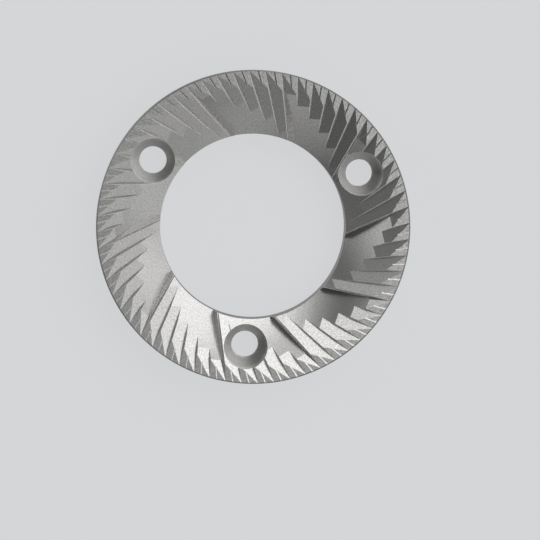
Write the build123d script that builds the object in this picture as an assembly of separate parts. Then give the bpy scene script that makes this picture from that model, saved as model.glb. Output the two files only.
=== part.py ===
from build123d import *
import os
from math import asin, cos, degrees, radians, sin, sqrt, tan

# Coffee grinder burr: one flat ring of tool steel, lying on its back with its teeth up.
# The origin is the middle of the back face, and the axis of the burr is +Z.
# All lengths are in millimetres and all angles in degrees.

# Ring
outer_diameter = 64.0
bore_diameter = 38.0
thickness = 9.0
rim_chamfer = 0.3
back_chamfer = 0.6
bore_chamfer = 0.4

# Teeth: every tooth wall lies on a straight line that passes beside the axis
sector_count = 10
teeth_per_sector = 6
first_wall_angle = 7.7
wall_line_offset = 9.0
tooth_tilt = 20.0
tooth_fall = 11.0
tooth_clearance = 1.0

# Fine slots, one in the land of every tooth
fine_slot_width = 0.28

# Feed pockets, one in every sector, each as a wheel-shaped cutter leaves it
pocket_cutter_radius = 39.0
pocket_centre_from_rim = 16.4
pocket_sink = 1.9
pocket_tilt = 23.0
pocket_ledge = 0.2
pocket_corner_radius = 0.5

# Screw holes
screw_count = 3
screw_circle_diameter = 49.0
screw_hole_diameter = 5.6
screw_head_diameter = 9.0
screw_head_angle = 90.0
screw_seat_height = 2.7
first_screw_angle = 26.3

outer_radius = outer_diameter / 2
bore_radius = bore_diameter / 2
tooth_count = sector_count * teeth_per_sector
tooth_step = 360 / tooth_count
line_skew = degrees(asin(wall_line_offset / outer_radius))
slot_length = sqrt(outer_radius**2 - wall_line_offset**2)
slot_width = radians(tooth_step) * outer_radius
slot_height = slot_length * sin(radians(tooth_fall)) + tooth_clearance


def ring_blank():
    """The turned ring before any tooth is cut, with its edges broken."""
    profile = Polyline(
        (bore_radius, bore_chamfer),
        (bore_radius + bore_chamfer, 0),
        (outer_radius - back_chamfer, 0),
        (outer_radius, back_chamfer),
        (outer_radius, thickness - rim_chamfer),
        (outer_radius - rim_chamfer, thickness),
        (bore_radius, thickness),
        close=True,
    )
    return revolve(Plane.XZ * make_face(profile), Axis.Z)


def wall_line(angle, depth, fall, tilt):
    """Place on the wall line whose rim end is at this angle: x runs inward along the foot
    of the wall, y runs up the slot floor to the tooth before, and z runs up the wall."""
    foot = Pos(
        outer_radius * cos(radians(angle)),
        outer_radius * sin(radians(angle)),
        thickness - depth,
    )
    heading = angle + 180 + line_skew
    return foot * Rot(Z=heading) * Rot(Y=fall) * Rot(X=tilt)


def square_cutter(length, width, height):
    """A square-cornered cut that starts outside the rim and leaves one wall and one floor."""
    corner = (Align.MIN, Align.MIN, Align.MIN)
    return Pos(X=-tooth_clearance) * Box(length + tooth_clearance, width, height, align=corner)


def tooth_slots():
    """The long slots: nothing deep at the rim and deeper all the way to the bore."""
    cutter = square_cutter(slot_length, slot_width, slot_height)
    angles = [first_wall_angle + tooth_step * i for i in range(tooth_count)]
    return [wall_line(angle, 0, tooth_fall, tooth_tilt) * cutter for angle in angles]


def fine_slots():
    """The short shallow slots, which run from the rim into the side of the long slots."""
    slope = tan(radians(tooth_tilt))
    depth = fine_slot_width * slope
    half_pitch = slot_width * cos(radians(line_skew)) / 2
    length = (half_pitch + fine_slot_width) * slope / tan(radians(tooth_fall))
    cutter = square_cutter(length, 2 * fine_slot_width, tooth_clearance)
    middle = first_wall_angle + tooth_step / 2
    angles = [middle + tooth_step * i for i in range(tooth_count)]
    return [wall_line(angle, depth, 0, tooth_tilt) * cutter for angle in angles]


def feed_pockets():
    """The pockets that take in the beans: each falls toward the last wall of its sector,
    opens into the bore and leaves a thin ledge and a small round along that wall."""
    deepest = slot_length * tan(radians(tooth_fall)) + pocket_sink
    width = deepest / sin(radians(pocket_tilt))
    wheel = Rot(X=-90) * Cylinder(
        pocket_cutter_radius, width, align=(Align.CENTER, Align.CENTER, Align.MIN)
    )
    side_edge = wheel.edges().filter_by(GeomType.CIRCLE).sort_by(Axis.Y)[0]
    wheel = fillet(side_edge, pocket_corner_radius)
    centre_height = pocket_cutter_radius - pocket_sink
    wheel = Pos(pocket_centre_from_rim, pocket_ledge, centre_height) * wheel
    step = tooth_step * teeth_per_sector
    angles = [first_wall_angle + step * i for i in range(sector_count)]
    return [wall_line(angle, 0, tooth_fall, pocket_tilt) * wheel for angle in angles]


def screw_holes():
    """Three through holes, each with a conical seat and a straight well for the head."""
    cone_height = (screw_head_diameter - screw_hole_diameter) / 2
    cone_height = cone_height / tan(radians(screw_head_angle / 2))
    well_floor = screw_seat_height + cone_height
    hole_radius = screw_hole_diameter / 2
    head_radius = screw_head_diameter / 2
    top = thickness + tooth_clearance
    profile = Polyline(
        (0, -tooth_clearance),
        (hole_radius, -tooth_clearance),
        (hole_radius, screw_seat_height),
        (head_radius, well_floor),
        (head_radius, top),
        (0, top),
        close=True,
    )
    hole = revolve(Plane.XZ * make_face(profile), Axis.Z)
    step = 360 / screw_count
    angles = [first_screw_angle + step * i for i in range(screw_count)]
    return [Rot(Z=angle) * Pos(X=screw_circle_diameter / 2) * hole for angle in angles]


def grinding_burr():
    """The finished burr: the ring with its slots, pockets and screw holes cut in turn."""
    toothed_ring = ring_blank() - fine_slots() - tooth_slots()
    return toothed_ring - feed_pockets() - screw_holes()


os.makedirs("parts", exist_ok=True)
export_step(grinding_burr(), "parts/grinding_burr.step")
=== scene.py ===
from math import asin, cos, pi, radians, sin, sqrt, tan

import bmesh
import bpy
import numpy as np
from mathutils import Matrix, Vector


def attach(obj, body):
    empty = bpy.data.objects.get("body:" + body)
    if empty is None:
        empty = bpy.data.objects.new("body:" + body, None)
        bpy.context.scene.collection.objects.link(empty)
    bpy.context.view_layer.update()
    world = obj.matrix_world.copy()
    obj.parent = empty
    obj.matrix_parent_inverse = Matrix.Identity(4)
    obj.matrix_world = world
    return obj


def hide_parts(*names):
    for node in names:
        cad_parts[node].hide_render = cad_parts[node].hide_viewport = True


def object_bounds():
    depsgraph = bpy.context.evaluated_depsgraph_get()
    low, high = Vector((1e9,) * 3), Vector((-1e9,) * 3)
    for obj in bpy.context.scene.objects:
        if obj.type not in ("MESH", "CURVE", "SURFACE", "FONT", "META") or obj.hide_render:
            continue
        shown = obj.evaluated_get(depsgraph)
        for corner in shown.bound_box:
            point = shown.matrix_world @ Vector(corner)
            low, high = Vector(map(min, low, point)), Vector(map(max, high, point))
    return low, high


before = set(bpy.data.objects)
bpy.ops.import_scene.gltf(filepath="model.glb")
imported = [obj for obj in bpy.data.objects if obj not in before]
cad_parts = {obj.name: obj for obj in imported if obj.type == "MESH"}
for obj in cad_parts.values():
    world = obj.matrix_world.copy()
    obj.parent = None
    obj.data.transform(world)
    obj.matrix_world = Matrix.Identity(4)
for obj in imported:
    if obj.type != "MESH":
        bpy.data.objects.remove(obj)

cadLow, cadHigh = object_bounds()
print("stage: the frame is loaded")

sceneCollection = bpy.context.scene.collection
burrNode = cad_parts["grinding_burr"]
micrometre = 1e-6


def addNode(nodes, kind, inputs=None, **options):
    # a new node with its options set, and the values of its inputs by name or number
    node = nodes.new(kind)
    for name, value in options.items():
        setattr(node, name, value)
    for name, value in (inputs or {}).items():
        node.inputs[name].default_value = value
    return node


# Camera: it looks down on the teeth, from a little to the left and above the axis

cameraSettings = {
    "distance": 0.560,          # metres from the middle of the toothed face
    "tiltLeft": 2.28,           # degrees the camera stands to the left of the axis
    "tiltUp": 3.39,             # degrees it stands above the axis, on the page
    "lens": 183.6,              # millimetres
    "sensorWidth": 36,          # millimetres
    "clipNear": 0.01,
    "clipFar": 20,
    "aimX": 0.00333,            # point of the toothed face in the middle of the picture
    "aimY": -0.00865,
}


def makeCamera(settings):
    # from the middle of the toothed face the camera stands along (left, up, 1) over its length,
    # and the top of its picture is turned towards +Y
    faceHeight = cadHigh.z
    away = Vector((-tan(radians(settings["tiltLeft"])), tan(radians(settings["tiltUp"])), 1))
    place = Vector((0, 0, faceHeight)) + away.normalized() * settings["distance"]
    aim = Vector((settings["aimX"], settings["aimY"], faceHeight))
    forward = (aim - place).normalized()
    right = forward.cross(Vector((0, 1, 0))).normalized()
    up = right.cross(forward)
    data = bpy.data.cameras.new("photoCamera")
    data.sensor_width = settings["sensorWidth"]
    data.lens = settings["lens"]
    data.clip_start = settings["clipNear"]
    data.clip_end = settings["clipFar"]
    camera = bpy.data.objects.new("photoCamera", data)
    sceneCollection.objects.link(camera)
    turn = Matrix((right, up, -forward)).transposed().to_4x4()
    camera.matrix_world = Matrix.Translation(place) @ turn
    bpy.context.scene.camera = camera


makeCamera(cameraSettings)
print("stage: camera")


# Light: soft glows all round, as large studio boxes give, over a dim even sky

lightSettings = {
    "skyGrey": 0.005,
    # angle off the zenith, azimuth and half-width in degrees, brightness in the middle
    "glows": {
        "keyLowRight": (58.8, 11.2, 28.3, 1.123),
        "keyUpper": (36.8, 81.6, 15.7, 1.961),
        "keyMiddle": (52.9, 49.2, 19.0, 1.886),
        "keyRight": (35.8, 16.5, 14.5, 1.558),
        "keyUpperLow": (74.9, 86.1, 14.5, 0.80),
        "keyEdge": (80.0, 90.0, 18.0, 1.09),
        "fillLowerRight": (51.6, 318.2, 27.2, 0.873),
        "fillLower": (31.2, 279.3, 9.7, 2.043),
        "fillLowerLeft": (66.8, 244.3, 32.4, 0.669),
        "edgeLeft": (69.5, 154.1, 19.4, 1.241),
        "edgeLeftLow": (80.0, 150.0, 18.0, 0.685),
        "spotLeft": (59.3, 209.4, 8.3, 0.527),
        "topRight": (16.5, 1.0, 8.6, 3.37),
        "topUpper": (20.0, 60.0, 12.0, 0.478),
    },
}


def makeGlow(nodes, links, direction, glow, glowSum):
    # brightness times exp of (cosine of the angle from the middle, less 1),
    # over (1 less the cosine of the half-width)
    offZenith, azimuth, halfWidth, brightness = glow
    lean, turn = radians(offZenith), radians(azimuth)
    middle = (sin(lean) * cos(turn), sin(lean) * sin(turn), cos(lean))
    sharpness = 1 / (1 - cos(radians(halfWidth)))
    dot = addNode(nodes, "ShaderNodeVectorMath", {1: middle}, operation="DOT_PRODUCT")
    power = addNode(
        nodes, "ShaderNodeMath", {1: sharpness, 2: -sharpness}, operation="MULTIPLY_ADD"
    )
    falloff = addNode(nodes, "ShaderNodeMath", operation="EXPONENT")
    total = addNode(nodes, "ShaderNodeMath", {1: brightness}, operation="MULTIPLY_ADD")
    links.new(direction, dot.inputs[0])
    links.new(dot.outputs["Value"], power.inputs[0])
    links.new(power.outputs[0], falloff.inputs[0])
    links.new(falloff.outputs[0], total.inputs[0])
    links.new(glowSum, total.inputs[2])
    return total.outputs[0]


def makeStudioLight(settings):
    world = bpy.data.worlds.new("paleStudio")
    world.use_nodes = True
    nodes, links = world.node_tree.nodes, world.node_tree.links
    direction = nodes.new("ShaderNodeTexCoord").outputs["Generated"]
    sky = nodes.new("ShaderNodeValue")
    sky.outputs[0].default_value = settings["skyGrey"]
    glowSum = sky.outputs[0]
    for glow in settings["glows"].values():
        glowSum = makeGlow(nodes, links, direction, glow, glowSum)
    nodes["Background"].inputs["Color"].default_value = (1, 1, 1, 1)
    links.new(glowSum, nodes["Background"].inputs["Strength"])
    bpy.context.scene.world = world


makeStudioLight(lightSettings)
print("stage: light")


# Floor: pale paper that shows plain, with a little of the burr's shadow

floorSettings = {
    "halfWidth": 1.5,
    "colour": (0.673, 0.680, 0.694),
    "plainShare": 0.9,          # share of its look that the light doesn't change
}


def makePaper(settings):
    material = bpy.data.materials.new("palePaper")
    material.use_nodes = True
    nodes, links = material.node_tree.nodes, material.node_tree.links
    colour = (*settings["colour"], 1)
    shader = nodes["Principled BSDF"]
    shader.inputs["Base Color"].default_value = colour
    shader.inputs["Roughness"].default_value = 1
    plain = addNode(nodes, "ShaderNodeEmission", {"Color": colour})
    # the plain colour shows to the camera, in gloss and through glass
    ray = nodes.new("ShaderNodeLightPath")
    cameraOrGlossy = addNode(nodes, "ShaderNodeMath", operation="MAXIMUM")
    seen = addNode(nodes, "ShaderNodeMath", operation="MAXIMUM")
    share = addNode(nodes, "ShaderNodeMath", {1: settings["plainShare"]}, operation="MULTIPLY")
    mix = nodes.new("ShaderNodeMixShader")
    links.new(ray.outputs["Is Camera Ray"], cameraOrGlossy.inputs[0])
    links.new(ray.outputs["Is Glossy Ray"], cameraOrGlossy.inputs[1])
    links.new(cameraOrGlossy.outputs[0], seen.inputs[0])
    links.new(ray.outputs["Is Transmission Ray"], seen.inputs[1])
    links.new(seen.outputs[0], share.inputs[0])
    links.new(share.outputs[0], mix.inputs["Fac"])
    links.new(shader.outputs["BSDF"], mix.inputs[1])
    links.new(plain.outputs["Emission"], mix.inputs[2])
    links.new(mix.outputs["Shader"], nodes["Material Output"].inputs["Surface"])
    return material


def makeFloor(settings):
    half = settings["halfWidth"]
    corners = [(-half, -half, 0), (half, -half, 0), (half, half, 0), (-half, half, 0)]
    mesh = bpy.data.meshes.new("paleFloor")
    mesh.from_pydata(corners, [], [(0, 1, 2, 3)])
    mesh.materials.append(makePaper(settings))
    floor = bpy.data.objects.new("paleFloor", mesh)
    sceneCollection.objects.link(floor)


makeFloor(floorSettings)
print("stage: floor")


# Burr: the CAD ring with a finish for every way its faces were cut, with painted shade on the
# turned faces and a painted highlight on the rounded crests

# lengths in metres and angles in degrees, as the CAD has them
burrSettings = {
    "outerRadius": 0.032,
    "thickness": 0.009,
    "rimChamfer": 0.0003,
    "chamferSlope": 45.0,
    "lineOffset": 0.009,        # how far the tooth lines pass beside the axis
    "firstLine": 7.7,           # angle of the first tooth line at the rim
    "toothStep": 6.0,
    "toothFall": 11.0,
    "toothTilt": 20.0,
    "pocketStep": 36.0,
    "pocketTilt": 23.0,
    "wheelRadius": 0.039,       # of the cutter of the pockets
    "wheelCentre": (0.0164, 0.0002, 0.0371),    # from the rim end of the tooth line
    "cornerRound": 0.0005,      # at the foot of the pocket walls, which is made square here
    "screwCircle": 0.0245,
    "screwStep": 120.0,
    "firstScrew": 26.3,
    "wellRadius": 0.0045,
    "holeRadius": 0.0028,
    "seatSlope": 45.0,
    "seatHollow": 0.0002,       # how far the seats sink at their lowest
    "seatRows": 8,              # strips from the wall of the well to the hole
    "crestWear": 0.00008,       # width lost on each side of a tooth crest
    "crestSegments": 2,
    "crestProfile": 0.5,        # a round
    "patternShift": (0.00731, 0.02193),     # from tooth to tooth, so that their streaks differ
    "mergeDigits": 6,           # corners are one point if they are the same to the micrometre
}

# how near a face or point has to be to what it is sorted by
sortSettings = {
    "onRound": 2e-6,            # metres from the small round of a pocket
    "pastEdge": 1e-6,           # metres past the edge of that round, or below a crest
    "onChamfer": 0.00002,       # metres inside the chamfer of the rim
    "inWell": 1.002,            # times the radius of the well
    # the next are limits on the upward part of a face's normal, from -1 to 1
    "backBelow": -0.99,
    "sideBelow": 0.02,
    "wellBelow": 0.9,
    "landAbove": 0.9995,
    "pocketWallBelow": 0.6,
    # and the next are how far that part may be from what the cut gives
    "onSlope": 0.02,
    "onFloor": 0.0006,
    "onWall": 0.002,
    "crestTurn": 0.75,          # cosine of the least turn over a crest
}

# streaks per millimetre along and across the cut, how deep they are in micrometres,
# and how far colour and roughness stray from their mean
finishSettings = {
    "milledFloors": {
        "colour": (0.43, 0.4265, 0.4195), "colourStray": 0.27, "roughness": 0.30,
        "roughStray": 0.04, "along": 2.2, "across": 6.5, "depth": 1.4,
    },
    "milledWalls": {
        "colour": (0.46, 0.4564, 0.4493), "colourStray": 0.10, "roughness": 0.90,
        "roughStray": 0.06, "along": 0.8, "across": 4.5, "depth": 1.2, "metal": 0.2,
    },
    "wheelCutPockets": {
        "colour": (0.43, 0.4265, 0.4195), "colourStray": 0.20, "roughness": 0.29,
        "roughStray": 0.03, "along": 2.6, "across": 6.0, "depth": 1.1, "mottle": 3200.0,
    },
    "groundLands": {
        "colour": (0.41, 0.4067, 0.40), "colourStray": 0.36, "roughness": 0.34,
        "roughStray": 0.06, "along": 1.2, "across": 5.0, "depth": 1.8,
    },
    # turned faces get a darker colour than the rest of the steel: painted shade for the bore wall
    "turnedEdgesPaintedShade": {
        "colour": (0.27, 0.268, 0.264), "colourStray": 0.10, "roughness": 0.45,
        "roughStray": 0.06, "along": 0.02, "across": 5.0, "depth": 1.5,
    },
    "boredWells": {
        "colour": (0.54, 0.5357, 0.527), "colourStray": 0.06, "roughness": 0.60,
        "roughStray": 0.05, "along": 6.0, "across": 0.02, "depth": 1.5, "ringGloss": 0.9,
    },
    # the round of the crests is geometry; their colour, paler than the rest of the steel, is a
    # painted highlight
    "wornCrestsPaintedGlint": {
        "colour": (0.72, 0.714, 0.703), "colourStray": 0.05, "roughness": 0.24,
        "roughStray": 0.03, "along": 1.1, "across": 4.5, "depth": 0.5,
    },
    "groundBack": {
        "colour": (0.43, 0.4265, 0.4195), "colourStray": 0.12, "roughness": 0.34,
        "roughStray": 0.05, "along": 0.12, "across": 6.0, "depth": 0.5,
    },
}

# what a finish has where it doesn't say otherwise
sharedFinish = {
    "metal": 1,
    "ringGloss": 0,             # how far the gloss spreads square to rings round a hole
    "streakDetail": 3,
    "streakRoughness": 0.65,
    "mottle": 3600.0,           # spots per metre
    "mottleDetail": 4,
    "mottleRoughness": 0.6,
    "mottleShare": 0.33,        # of the pattern; the rest is streaks
    "patternLow": 0.38,         # nearly all of the pattern lies between these two
    "patternHigh": 0.62,
}


def makeFinish(name, settings):
    # streaks are noise stretched along the cut; the mottle is fine noise with no direction
    material = bpy.data.materials.new(name)
    material.use_nodes = True
    nodes, links = material.node_tree.nodes, material.node_tree.links
    shader = nodes["Principled BSDF"]
    shader.inputs["Metallic"].default_value = settings["metal"]
    coords = nodes.new("ShaderNodeTexCoord")

    perMillimetre = (settings["along"], settings["across"], 0)
    stretch = addNode(nodes, "ShaderNodeVectorMath", {1: perMillimetre}, operation="MULTIPLY")
    streaks = addNode(nodes, "ShaderNodeTexNoise", {
        "Scale": 1, "Detail": settings["streakDetail"], "Roughness": settings["streakRoughness"],
    })
    mottle = addNode(nodes, "ShaderNodeTexNoise", {
        "Scale": settings["mottle"], "Detail": settings["mottleDetail"],
        "Roughness": settings["mottleRoughness"],
    })
    blend = addNode(nodes, "ShaderNodeMix", {"Factor": settings["mottleShare"]})
    links.new(coords.outputs["UV"], stretch.inputs[0])
    links.new(stretch.outputs["Vector"], streaks.inputs["Vector"])
    links.new(coords.outputs["Object"], mottle.inputs["Vector"])
    links.new(streaks.outputs["Fac"], blend.inputs["A"])
    links.new(mottle.outputs["Fac"], blend.inputs["B"])
    pattern = blend.outputs["Result"]

    # high places of the pattern are paler and glossier than low ones
    low, high = settings["patternLow"], settings["patternHigh"]
    base = np.array(settings["colour"])
    colour = nodes.new("ShaderNodeValToRGB")
    darkEnd, paleEnd = colour.color_ramp.elements
    darkEnd.position, paleEnd.position = low, high
    darkEnd.color = (*(base * (1 - settings["colourStray"])), 1)
    paleEnd.color = (*(base * (1 + settings["colourStray"])), 1)
    roughness = addNode(nodes, "ShaderNodeMapRange", {
        "From Min": low, "From Max": high,
        "To Min": settings["roughness"] + settings["roughStray"],
        "To Max": settings["roughness"] - settings["roughStray"],
    })
    bump = addNode(nodes, "ShaderNodeBump", {"Distance": settings["depth"] * micrometre})
    links.new(pattern, colour.inputs["Fac"])
    links.new(colour.outputs["Color"], shader.inputs["Base Color"])
    links.new(pattern, roughness.inputs["Value"])
    links.new(roughness.outputs["Result"], shader.inputs["Roughness"])
    links.new(pattern, bump.inputs["Height"])
    links.new(bump.outputs["Normal"], shader.inputs["Normal"])

    if settings["ringGloss"]:
        # the gloss spreads down the slope of the well, along the pattern's first coordinate
        slope = addNode(
            nodes, "ShaderNodeTangent", direction_type="UV_MAP", uv_map="cutDirection"
        )
        shader.inputs["Anisotropic"].default_value = settings["ringGloss"]
        links.new(slope.outputs["Tangent"], shader.inputs["Tangent"])
    return material


def readNumbers(items, field):
    # one whole number for each item of a Blender collection
    values = np.empty(len(items), dtype=np.int32)
    items.foreach_get(field, values)
    return values


def readVectors(items, field):
    # one row of x, y and z for each item
    values = np.empty(len(items) * 3, dtype=np.float32)
    items.foreach_get(field, values)
    return values.reshape(-1, 3).astype(float)


def unitLength(vectors):
    # each vector over its own length; a vector of no length stays as it is
    lengths = np.linalg.norm(vectors, axis=-1, keepdims=True)
    return vectors / np.where(lengths > 0, lengths, 1)


def planeNormals(triangles):
    # unit vector along the cross product of two sides
    first, second = triangles[:, 1] - triangles[:, 0], triangles[:, 2] - triangles[:, 0]
    return unitLength(np.cross(first, second))


def readTriangles(node):
    # points and normals of the node's corners, in threes
    corners = readNumbers(node.data.loops, "vertex_index")
    points = readVectors(node.data.vertices, "co")[corners]
    normals = readVectors(node.data.corner_normals, "vector")
    return points.reshape(-1, 3, 3), normals.reshape(-1, 3, 3)


def wheelPlace(line, settings):
    # where the pocket cutter stands, for the tooth line that starts at this angle on the rim
    rim = settings["outerRadius"]
    heading = line + pi + asin(settings["lineOffset"] / rim)
    return (
        Matrix.Translation((rim * cos(line), rim * sin(line), settings["thickness"]))
        @ Matrix.Rotation(heading, 4, "Z")
        @ Matrix.Rotation(radians(settings["toothFall"]), 4, "Y")
        @ Matrix.Rotation(radians(settings["pocketTilt"]), 4, "X")
        @ Matrix.Translation(settings["wheelCentre"])
    )


def squarePocketCorners(triangles, normals, settings, slack):
    # each point of the small round, at (down, beside) from the round's own centre, goes out
    # along that line until the larger of the two is the radius of the round
    small = settings["cornerRound"]
    centreReach = settings["wheelRadius"] - small
    first, step = radians(settings["firstLine"]), radians(settings["pocketStep"])
    for pocket in range(round(2 * pi / step)):
        wheel = wheelPlace(first + step * pocket, settings)
        place, back = np.array(wheel), np.array(wheel.inverted())
        local = triangles @ back[:3, :3].T + back[:3, 3]
        x, y, z = local[..., 0], local[..., 1], local[..., 2]
        reach = np.hypot(x, z)
        down, beside = reach - centreReach, small - y
        onRound = np.abs(np.hypot(down, beside) - small) < slack["onRound"]
        onRound &= (down > slack["pastEdge"]) & (beside > slack["pastEdge"]) & (z < 0)
        larger = np.where(onRound, np.maximum(down, beside), small)
        grow = small / larger
        stretch = (centreReach + down * grow) / reach
        moved = np.stack((x * stretch, small - beside * grow, z * stretch), axis=-1)
        moved = moved @ place[:3, :3].T + place[:3, 3]
        triangles = np.where(onRound[..., None], moved, triangles)
        touched = onRound.any(axis=1)[:, None, None]
        normals = np.where(touched, planeNormals(triangles)[:, None, :], normals)
    return triangles, normals


def nearestScrew(points, settings):
    # centre of the screw hole whose sector the point is in
    first, step = radians(settings["firstScrew"]), radians(settings["screwStep"])
    polar = np.arctan2(points[..., 1], points[..., 0])
    turn = first + np.round((polar - first) / step) * step
    return settings["screwCircle"] * np.stack((np.cos(turn), np.sin(turn)), axis=-1)


def splitIntoRows(cone, onHole, rowCount):
    # the corner that is alone on its circle comes first, and rows of equal depth run from it
    # to the other two: a triangle, then pairs of triangles
    lone = np.where(onHole.sum(axis=1) == 1, onHole.argmax(axis=1), (~onHole).argmax(axis=1))
    order = (lone[:, None] + np.arange(3)) % 3
    cone = np.take_along_axis(cone, order[..., None], axis=1)
    step = np.linspace(0, 1, rowCount + 1)[None, :, None]
    left = cone[:, :1] + (cone[:, 1:2] - cone[:, :1]) * step
    right = cone[:, :1] + (cone[:, 2:] - cone[:, :1]) * step
    strips = np.stack((
        np.stack((left[:, :-1], left[:, 1:], right[:, 1:]), axis=2),
        np.stack((left[:, :-1], right[:, 1:], right[:, :-1]), axis=2),
    ), axis=2)
    kept = np.ones(strips.shape[:3], dtype=bool)
    kept[:, 0, 1] = False
    return strips, kept


def hollowSeats(triangles, normals, settings, slack):
    # the conical seats go a little hollow towards the wall of the well: with t from 0 at the
    # wall to 1 at the hole, they sink by 27 / 4 * hollow * t * (1 - t) squared, square to the cone
    wide, narrow = settings["wellRadius"], settings["holeRadius"]
    scale = 27 / 4 * settings["seatHollow"]
    slopeLength = (wide - narrow) * sqrt(2)
    middle = triangles.mean(axis=1)
    centre = nearestScrew(middle, settings)
    up = planeNormals(triangles)[:, 2]
    seat = np.abs(up - cos(radians(settings["seatSlope"]))) < slack["onSlope"]
    seat &= np.hypot(*(middle[:, :2] - centre).T) < wide
    cone, centre = triangles[seat], centre[seat][:, None, :]
    fromWall = wide - np.linalg.norm(cone[..., :2] - centre, axis=-1)
    strips, kept = splitIntoRows(cone, fromWall > (wide - narrow) / 2, settings["seatRows"])
    centre = np.broadcast_to(centre[:, None, None], strips.shape[:4] + (2,))[kept]
    strips = strips[kept]
    outward = strips[..., :2] - centre
    distance = np.linalg.norm(outward, axis=-1, keepdims=True)
    outward = outward / distance
    t = np.clip((wide - distance) / (wide - narrow), 0, 1)
    sink = scale * t * (1 - t) ** 2
    slope = scale * (1 - t) * (1 - 3 * t) / slopeLength
    bent = unitLength(np.concatenate((-outward - outward * slope, 1 - slope), axis=-1))
    strips = strips + np.concatenate((outward * sink, -sink), axis=-1) / sqrt(2)
    return np.concatenate((triangles[~seat], strips)), np.concatenate((normals[~seat], bent))


def sortFaces(triangles, settings, slack):
    # the kind of each face, by the way it points and where it is: the first that fits
    middle = triangles.mean(axis=1)
    radius = np.hypot(middle[:, 0], middle[:, 1])
    fromScrew = np.hypot(*(middle[:, :2] - nearestScrew(middle, settings)).T)
    up = planeNormals(triangles)[:, 2]
    tilt, fall = radians(settings["toothTilt"]), radians(settings["toothFall"])

    def pointsUpBy(share, allowed):
        return np.abs(up - share) < allowed

    inWell = fromScrew < settings["wellRadius"] * slack["inWell"]
    atRim = radius > settings["outerRadius"] - settings["rimChamfer"] - slack["onChamfer"]
    chamfer = atRim & pointsUpBy(cos(radians(settings["chamferSlope"])), slack["onSlope"])
    # the long slots fall towards the bore, and the fine slots don't
    floors = pointsUpBy(cos(tilt) * cos(fall), slack["onFloor"])
    floors |= pointsUpBy(cos(tilt), slack["onFloor"])
    walls = pointsUpBy(sin(tilt) * cos(fall), slack["onWall"])
    walls |= pointsUpBy(sin(tilt), slack["onWall"])
    kinds = {
        "boredWells": inWell & (up < slack["wellBelow"]),
        "groundBack": up < slack["backBelow"],
        "turnedEdgesPaintedShade": (up < slack["sideBelow"]) | chamfer,
        "groundLands": up > slack["landAbove"],
        "milledFloors": floors,
        "milledWalls": walls,
        "wheelCutPockets": np.full(len(up), True),
    }
    return np.select(list(kinds.values()), np.arange(len(kinds))), list(kinds)


def layPattern(triangles, kind, names, settings):
    # pattern coordinates of every corner, in metres
    middle = triangles.mean(axis=1)
    offset, rim = settings["lineOffset"], settings["outerRadius"]
    first, toothStep = radians(settings["firstLine"]), radians(settings["toothStep"])
    skew = asin(offset / rim)

    # the tooth line through a point starts on the rim at the point's own angle,
    # plus asin(offset / radius), less asin(offset / rim radius)
    radius = np.hypot(middle[:, 0], middle[:, 1])
    polar = np.arctan2(middle[:, 1], middle[:, 0])
    lineAngle = polar + np.arcsin(offset / np.maximum(radius, offset)) - skew
    pocketStep = radians(settings["pocketStep"])
    step = np.where(kind == names.index("wheelCutPockets"), pocketStep, toothStep)
    line = first + np.ceil((lineAngle - first) / step) * step

    # teeth and pockets: along and across the next tooth line
    x, y, z = triangles[..., 0], triangles[..., 1], triangles[..., 2]
    heading = (line + pi + skew)[:, None]
    along = x * np.cos(heading) + y * np.sin(heading)
    across = y * np.cos(heading) - x * np.sin(heading)
    tooth = np.round((line - first) / toothStep)[:, None, None]
    pattern = np.stack((along, across), axis=-1) + tooth * settings["patternShift"]

    # back: straight lines all the way across
    ground = kind == names.index("groundBack")
    pattern[ground] = triangles[ground][..., :2]

    # turned edges: rings round the axis of the burr
    turned = kind == names.index("turnedEdgesPaintedShade")
    pattern[turned] = np.stack((x, np.hypot(x, y) + z), axis=-1)[turned]

    # wells: rings round the axis of the screw, with the slope first
    bored = kind == names.index("boredWells")
    screwX, screwY = nearestScrew(middle, settings).T[..., None]
    middleTurn = np.arctan2((y - screwY).mean(axis=1), (x - screwX).mean(axis=1))[:, None]
    turn = np.arctan2(y - screwY, x - screwX) - middleTurn
    turn = (turn + pi) % (2 * pi) - pi + middleTurn
    downSlope = np.hypot(x - screwX, y - screwY) + z
    pattern[bored] = np.stack((downSlope, turn * settings["wellRadius"]), axis=-1)[bored]
    return pattern


def findCrests(points, faces, facing, steep, flat, slack):
    # edges where a steep face meets a flatter one and the solid is between them:
    # the far corner of one face lies below the plane of the other
    ends = np.sort(faces[:, [[0, 1], [1, 2], [2, 0]]].reshape(-1, 2), axis=1)
    far = faces[:, [2, 0, 1]].reshape(-1)
    owner = np.repeat(np.arange(len(faces)), 3)
    order = np.lexsort((ends[:, 1], ends[:, 0]))
    ends, far, owner = ends[order], far[order], owner[order]
    pair = np.flatnonzero((ends[:-1] == ends[1:]).all(axis=1))
    one, two = owner[pair], owner[pair + 1]
    drop = ((points[far[pair + 1]] - points[ends[pair, 0]]) * facing[one]).sum(axis=1)
    turn = (facing[one] * facing[two]).sum(axis=1)
    crest = (drop < -slack["pastEdge"]) & (turn < slack["crestTurn"])
    crest &= (steep[one] & flat[two]) | (flat[one] & steep[two])
    return ends[pair[crest]]


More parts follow.
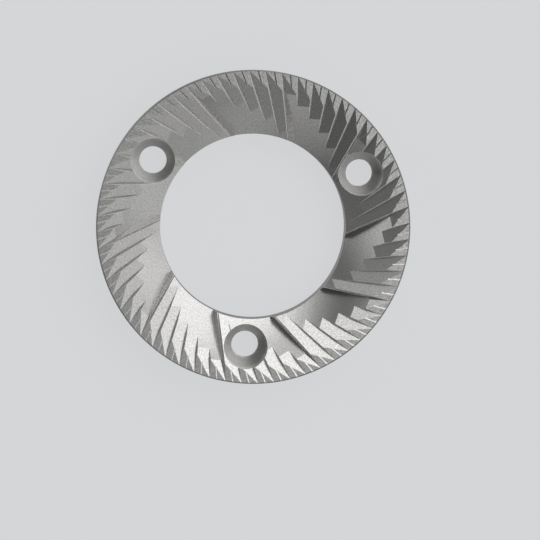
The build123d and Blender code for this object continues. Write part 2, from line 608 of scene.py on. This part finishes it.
def bevelCrests(mesh, crests, wornGlintIndex, settings):
    # Blender's own bevel along the edges whose two ends are those of a crest
    ends = np.empty(len(mesh.edges) * 2, dtype=np.int32)
    mesh.edges.foreach_get("vertices", ends)
    ends = np.sort(ends.reshape(-1, 2), axis=1)
    oneNumber = np.array((len(mesh.vertices), 1))
    isCrest = np.isin(ends @ oneNumber, crests @ oneNumber)
    solid = bmesh.new()
    solid.from_mesh(mesh)
    solid.edges.ensure_lookup_table()
    bmesh.ops.bevel(
        solid, geom=[solid.edges[edge] for edge in np.flatnonzero(isCrest)],
        offset=settings["crestWear"], offset_type="OFFSET", segments=settings["crestSegments"],
        profile=settings["crestProfile"], affect="EDGES", clamp_overlap=True, material=wornGlintIndex,
    )
    bmesh.ops.triangulate(solid, faces=solid.faces[:])
    solid.to_mesh(mesh)
    solid.free()


def setNormals(mesh, wornGlintIndex):
    # worn faces lie between the normals of the faces on both sides; the rest keep those of the cut
    corner = readNumbers(mesh.loops, "vertex_index")
    cut = readVectors(mesh.attributes["cutNormal"].data, "vector")
    plane = np.repeat(readVectors(mesh.polygons, "normal"), 3, axis=0)
    worn = np.repeat(readNumbers(mesh.polygons, "material_index") == wornGlintIndex, 3)
    fromCut = np.zeros((len(mesh.vertices), 3))
    np.add.at(fromCut, corner[~worn], cut[~worn])
    fromWear = np.zeros((len(mesh.vertices), 3))
    np.add.at(fromWear, corner[worn], plane[worn])
    # points in the middle of the bevel touch no cut face
    hasCut = fromCut.any(axis=1, keepdims=True)
    between = np.where(hasCut, fromCut, fromWear)[corner]
    final = unitLength(np.where(worn[:, None], between, cut))
    mesh.polygons.foreach_set("use_smooth", np.full(len(mesh.polygons), True))
    mesh.update()
    mesh.normals_split_custom_set(final.tolist())
    mesh.attributes.remove(mesh.attributes["cutNormal"])


def makeBurr(settings, slack, finishes):
    triangles, normals = readTriangles(burrNode)
    triangles, normals = squarePocketCorners(triangles, normals, settings, slack)
    triangles, normals = hollowSeats(triangles, normals, settings, slack)
    kind, names = sortFaces(triangles, settings, slack)
    pattern = layPattern(triangles, kind, names, settings)
    facing = planeNormals(triangles)

    # merged mesh: corners at the same place are one point
    places = np.round(triangles.reshape(-1, 3), settings["mergeDigits"])
    points, corners = np.unique(places, axis=0, return_inverse=True)
    faces = corners.reshape(-1, 3)
    mesh = bpy.data.meshes.new("toothedRing")
    mesh.from_pydata(points.tolist(), [], faces.tolist())
    inMillimetres = (pattern * 1000).astype(np.float32).ravel()
    mesh.uv_layers.new(name="cutDirection").uv.foreach_set("vector", inMillimetres)
    cutNormal = mesh.attributes.new("cutNormal", "FLOAT_VECTOR", "CORNER")
    cutNormal.data.foreach_set("vector", normals.astype(np.float32).ravel())
    mesh.polygons.foreach_set("material_index", kind.astype(np.int32))
    # the last material, on the rounded crests, has a paler colour as a painted highlight
    wornGlintIndex = len(names)
    for name in names + ["wornCrestsPaintedGlint"]:
        mesh.materials.append(makeFinish(name, {**sharedFinish, **finishes[name]}))
    mesh.update()

    # crests lie between a wall and a floor or land
    inPocket = kind == names.index("wheelCutPockets")
    pocketWall = inPocket & (facing[:, 2] < slack["pocketWallBelow"])
    steep = pocketWall | (kind == names.index("milledWalls"))
    flat = (kind == names.index("milledFloors")) | (kind == names.index("groundLands"))
    flat |= inPocket & ~pocketWall
    crests = findCrests(points, faces, facing, steep, flat, slack)
    bevelCrests(mesh, crests, wornGlintIndex, settings)
    setNormals(mesh, wornGlintIndex)

    burr = bpy.data.objects.new("toothedRing", mesh)
    sceneCollection.objects.link(burr)
    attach(burr, "root")
    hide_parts("grinding_burr")


makeBurr(burrSettings, sortSettings, finishSettings)
print("stage: burr")


# Colour view

bpy.context.scene.view_settings.view_transform = "Standard"
